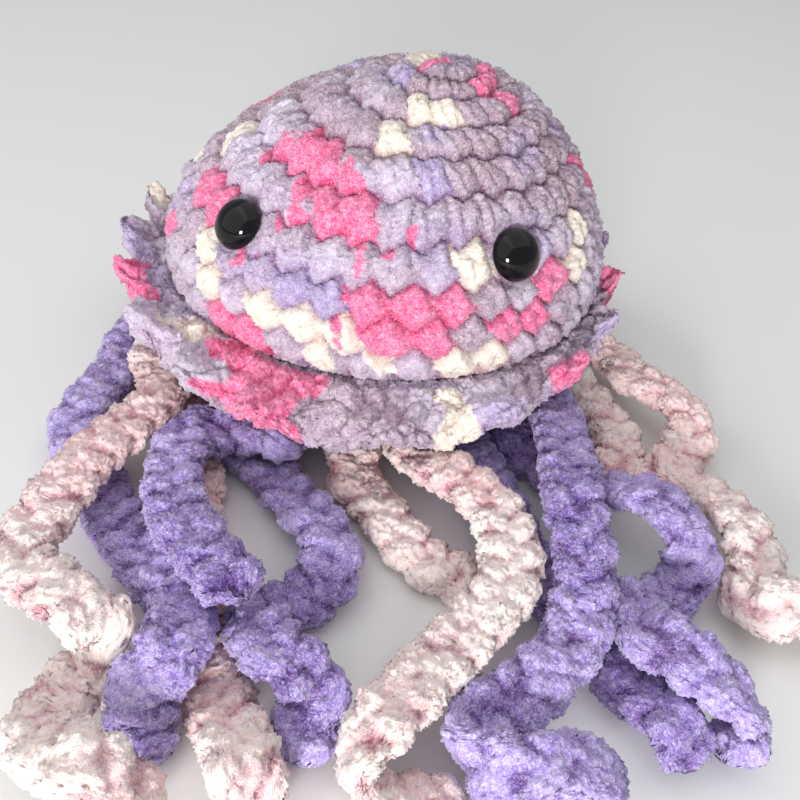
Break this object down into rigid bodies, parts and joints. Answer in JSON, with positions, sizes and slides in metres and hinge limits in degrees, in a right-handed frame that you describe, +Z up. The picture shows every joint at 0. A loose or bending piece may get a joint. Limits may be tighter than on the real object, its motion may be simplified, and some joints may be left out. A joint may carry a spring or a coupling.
{
  "type": "plush jellyfish",
  "caption": "Crocheted plush jellyfish with a round stuffed head, shiny black dome eyes, a wavy frill around the brim and curly ribbon tentacles that spread over the floor.",
  "frame": {"origin": "middle of the flat underside that it rests on", "axes": "+Z up through the crown, -Y the way the face looks, +X to the viewer's right"},
  "size_m": [0.2174, 0.2854, 0.0984],
  "materials": {
    "head_yarn": "fuzzy variegated chenille, mostly lavender, with pink, cream and violet runs",
    "base_yarn": "fuzzy chenille, lavender",
    "filling": "loose white fibre filling",
    "frill_yarn": "fuzzy variegated chenille, mostly lavender",
    "left_eye_plastic": "polished",
    "right_eye_plastic": "polished",
    "left_washer_plastic": "satin",
    "right_washer_plastic": "satin",
    "pink_tentacle_1_yarn": "fuzzy chenille, blush pink",
    "pink_tentacle_2_yarn": "fuzzy chenille, blush pink",
    "pink_tentacle_3_yarn": "fuzzy chenille, blush pink",
    "pink_tentacle_4_yarn": "fuzzy chenille, blush pink",
    "pink_tentacle_5_yarn": "fuzzy chenille, blush pink",
    "pink_tentacle_6_yarn": "fuzzy chenille, blush pink",
    "purple_tentacle_1_yarn": "fuzzy chenille, purple",
    "purple_tentacle_2_yarn": "fuzzy chenille, purple",
    "purple_tentacle_3_yarn": "fuzzy chenille, purple",
    "purple_tentacle_4_yarn": "fuzzy chenille, purple",
    "purple_tentacle_5_yarn": "fuzzy chenille, purple",
    "purple_tentacle_6_yarn": "fuzzy chenille, purple"
  },
  "bodies": {
    "root": {"head_cover": "head_yarn", "base": "base_yarn", "stuffing": "filling", "frill": "frill_yarn", "left_eye": "left_eye_plastic", "right_eye": "right_eye_plastic", "left_eye_washer": "left_washer_plastic", "right_eye_washer": "right_washer_plastic", "pink_tentacle_1": "pink_tentacle_1_yarn", "pink_tentacle_2": "pink_tentacle_2_yarn", "pink_tentacle_3": "pink_tentacle_3_yarn", "pink_tentacle_4": "pink_tentacle_4_yarn", "pink_tentacle_5": "pink_tentacle_5_yarn", "pink_tentacle_6": "pink_tentacle_6_yarn", "purple_tentacle_1": "purple_tentacle_1_yarn", "purple_tentacle_2": "purple_tentacle_2_yarn", "purple_tentacle_3": "purple_tentacle_3_yarn", "purple_tentacle_4": "purple_tentacle_4_yarn", "purple_tentacle_5": "purple_tentacle_5_yarn", "purple_tentacle_6": "purple_tentacle_6_yarn"}
  },
  "joints": []
}
